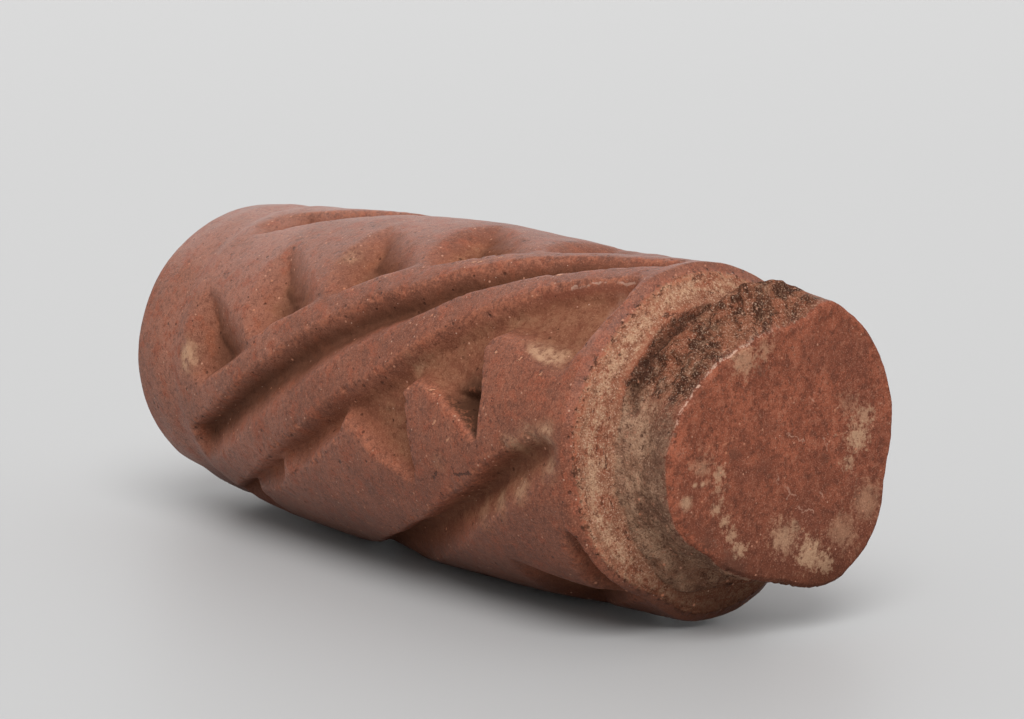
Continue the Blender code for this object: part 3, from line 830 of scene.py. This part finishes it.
# The face's front edge has worn to orange, and its broken edge shows pale fresh clay
at_arris = both(between(at, 0.94, 0.99), unless(between(at, 1.7, 2.0)))
front_arris = both(at_arris, facing((0, -0.94, -0.34), 0.6, 0.9))
colour = blend(both(both(front_arris, 0.7), between(fine, 0.47, 0.60)), colour, (0.33, 0.098, 0.053))
broken_edge = both(around_value(at, 1.75, 0.3), facing((0, -0.53, 0.85), 0.6, 0.9))
colour = blend(both(broken_edge, between(fine, 0.46, 0.58)), colour, (0.50, 0.30, 0.22))

# Marks on the roller's side, with painted sheen, highlight and shade among them
# A painted purple-grey sheen near the rim on top
sheen = both(side_stroke((4.0, 118), (1.3, 142), 1.5, 1.5), between(medium, 0.40, 0.60))
colour = blend(both(sheen, 0.6), colour, (0.29, 0.150, 0.115))
# A painted highlight, in dashes, along a ridge's lower edge
EDGE_HIGHLIGHT_LINE = ((12.9, 128.4), (11.0, 124.8), (8.7, 120.5), (6.3, 115.9), (4.5, 112.8), (2.0, 108.4))
painted_edge_highlight = side_stroke((8.9, 121.0), (8.4, 120.0), 0.16, 0.5)
for start, end in zip(EDGE_HIGHLIGHT_LINE[2:], EDGE_HIGHLIGHT_LINE[3:]):
    dashes = both(side_stroke(start, end, 0.09, 0.5), between(medium, 0.45, 0.52))
    painted_edge_highlight = maths("MAXIMUM", painted_edge_highlight, dashes)
colour = blend(both(painted_edge_highlight, 0.65), colour, (0.50, 0.31, 0.23))
# Painted shade: a dark red line just under that edge
red_line = 0.0
for start, end in zip(EDGE_HIGHLIGHT_LINE[1:], EDGE_HIGHLIGHT_LINE[2:]):
    lower = [(place + 0.15, degrees + 1.3) for place, degrees in (start, end)]
    red_line = maths("MAXIMUM", red_line, side_stroke(*lower, 0.3, 0.7))
colour = blend(both(red_line, 0.5), colour, (0.19, 0.055, 0.030))
ORANGE_GRAINS = (
    (11.3, 117.0, 0.4), (23.1, 119.4, 0.25), (22.4, 118.6, 0.2), (20.9, 115.2, 0.2), (8.3, 151.2, 0.15),
    (11.6, 150.6, 0.15), (5.1, 154.4, 0.15), (15.6, 180.5, 0.15), (19.2, 166.4, 0.15), (17.8, 176.4, 0.2),
)
orange = strongest(
    side_stroke((spot, degrees), (spot + 0.2, degrees + 0.5), size, 0.8)
    for spot, degrees, size in ORANGE_GRAINS
)
colour = blend(both(orange, 0.75), colour, (0.56, 0.25, 0.145))
DARK_MARKS = (
    ((15.5, 191.8), (12.8, 190.3), 0.10), ((15.6, 189.6), (15.4, 192.0), 0.10),
    ((18.0, 192.3), (18.3, 193.4), 0.15), ((18.1, 199.0), (18.0, 200.2), 0.15),
)
dark_mark = strongest(side_stroke(start, end, width, 0.5) for start, end, width in DARK_MARKS)
colour = blend(both(dark_mark, 0.75), colour, (0.07, 0.026, 0.016))

# Painted shade: the underside is darker
colour = blend(both(between(split.outputs["Z"], 9, 1), 0.8), colour, (0.066, 0.023, 0.012))

# Grains and pits
near_seed, kind, tone = grains(place, 0.5)
more_here = maths("ADD", maths("ADD", both(on_edge, 0.14), both(on_lip, 0.4)), both(is_rough, 0.1))
grain_size = maths("MULTIPLY_ADD", tone, 0.3, 0.08)
has_grain = maths("GREATER_THAN", maths("ADD", kind, more_here), 0.90)
is_grain = both(between(near_seed, grain_size, both(grain_size, 0.5)), has_grain)
grain_colour = blend(tone, (0.60, 0.42, 0.32), (0.46, 0.18, 0.10))
colour = blend(both(is_grain, 0.75), colour, grain_colour)
near_pit, pit_kind, pit_tone = grains(vector_maths("ADD", place, (31.7, 5.1, 9.3)), 0.7)
pit_size = maths("MULTIPLY_ADD", pit_tone, 0.3, 0.06)
has_pit = maths("GREATER_THAN", maths("ADD", pit_kind, more_here), 0.86)
is_pit = both(between(near_pit, pit_size, both(pit_size, 0.4)), has_pit)
colour = blend(both(is_pit, 0.7), colour, (0.055, 0.020, 0.012))
links.new(colour, shader.inputs["Base Color"])

# Crust, shoulder, face and hollows are dull, and the burnished top keeps a soft sheen
dirty = maths("MAXIMUM", maths("MAXIMUM", is_rough, on_shoulder), maths("MAXIMUM", on_face, in_hollow))
roughness = maths("MULTIPLY_ADD", dirty, 0.35, maths("MULTIPLY_ADD", medium, 0.25, 0.34))
links.new(roughness, shader.inputs["Roughness"])
burnish = both(unless(dirty), facing((0, 0.1, 1), 0.3, 0.95))
burnish = both(burnish, maths("MULTIPLY_ADD", further, 0.6, 0.4))
gloss = maths("MULTIPLY_ADD", burnish, 0.28, maths("MULTIPLY_ADD", dirty, -0.13, 0.18))
links.new(gloss, shader.inputs["Specular IOR Level"])

# Fine relief: grit on the rough clay, layers in the crust, streaks, pits and grains
gritty = maths("MAXIMUM", maths("MAXIMUM", is_rough, on_shoulder), both(on_face, 0.6))
grain_depth = maths("MULTIPLY_ADD", gritty, 0.09, maths("MULTIPLY_ADD", in_hollow, -0.02, 0.09))
height = maths("MULTIPLY", fine, grain_depth)
height = maths("MULTIPLY_ADD", dark_mark, -0.15, maths("MULTIPLY_ADD", orange, 0.12, height))
height = maths("MULTIPLY_ADD", finest, maths("MULTIPLY_ADD", gritty, 0.02, 0.025), height)
height = maths("MULTIPLY_ADD", both(crust_mix, is_rough), 0.5, height)
height = maths("MULTIPLY_ADD", both(streaks, on_shoulder), 0.12, height)
height = maths("MULTIPLY_ADD", is_pit, -0.08, height)
height = maths("MULTIPLY_ADD", is_grain, 0.03, height)
bump = nodes.new("ShaderNodeBump")
bump.inputs["Distance"].default_value = MM
links.new(height, bump.inputs["Height"])
links.new(bump.outputs["Normal"], shader.inputs["Normal"])
mesh.materials.append(clay)

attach(stamp, "root")
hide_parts("roller_stamp")

# The floor is a plain pale sheet, wide enough that its far edge never shows. The light is soft: a
# bright room, a wide lamp from over the camera's shoulder and a faint one from behind.
FLOOR_WIDTH = 60
FLOOR_GREY = 0.44
ROOM_LIGHT = 0.66
bpy.ops.mesh.primitive_plane_add(size=FLOOR_WIDTH)
floor = bpy.context.object
floor.name = "floor"
pale = bpy.data.materials.new("pale_floor")
pale.use_nodes = True
pale_shader = pale.node_tree.nodes["Principled BSDF"]
pale_shader.inputs["Base Color"].default_value = (FLOOR_GREY, FLOOR_GREY, FLOOR_GREY, 1)
floor.data.materials.append(pale)

world = bpy.data.worlds.new("studio")
world.use_nodes = True
background = world.node_tree.nodes["Background"]
background.inputs["Color"].default_value = (1, 1, 1, 1)
background.inputs["Strength"].default_value = ROOM_LIGHT
bpy.context.scene.world = world

SUNS = (("key", 2.5, 40, (-0.55, 0.34, -0.76)), ("back", 0.4, 60, (0.75, -0.45, -0.48)))
for name, energy, degrees, toward in SUNS:
    light = bpy.data.lights.new(name, "SUN")
    light.angle = math.radians(degrees)
    light.energy = energy
    lamp = bpy.data.objects.new(name, light)
    lamp.rotation_euler = Vector(toward).to_track_quat("-Z", "Y").to_euler()
    bpy.context.scene.collection.objects.link(lamp)

# The camera looks a little down on the near end, and along the roller. From the middle of the near
# rim it stands back, up and to one side by these distances.
FOCAL_IN_WIDTHS = 2800 / 1024
SENSOR_WIDTH = 36
CAMERA_PITCH = 8.1
CAMERA_SIDEWAYS = 16.635
CAMERA_UP = 7.224
CAMERA_BACK = 239.295
across = Vector((0.581, 0.814, 0)).normalized()
heading = Vector((-0.814, 0.581, 0)).normalized()
pitch = math.radians(CAMERA_PITCH)
forward = heading * math.cos(pitch) - Vector((0, 0, 1)) * math.sin(pitch)
down = -across.cross(forward)
if down.z > 0:
    down = -down
rim_centre = Vector((NEAR_RIM_X, 0, AXIS_HEIGHT)) * MM
eye = rim_centre - MM * (CAMERA_SIDEWAYS * across + CAMERA_UP * down + CAMERA_BACK * forward)
camera_data = bpy.data.cameras.new("camera")
camera_data.sensor_width = SENSOR_WIDTH
camera_data.lens = SENSOR_WIDTH * FOCAL_IN_WIDTHS
camera_data.clip_start = 0.01
camera = bpy.data.objects.new("camera", camera_data)
placed = Matrix((across, -down, -forward)).transposed().to_4x4()
placed.translation = eye
camera.matrix_world = placed
bpy.context.scene.collection.objects.link(camera)
bpy.context.scene.camera = camera
bpy.context.scene.view_settings.view_transform = "Standard"
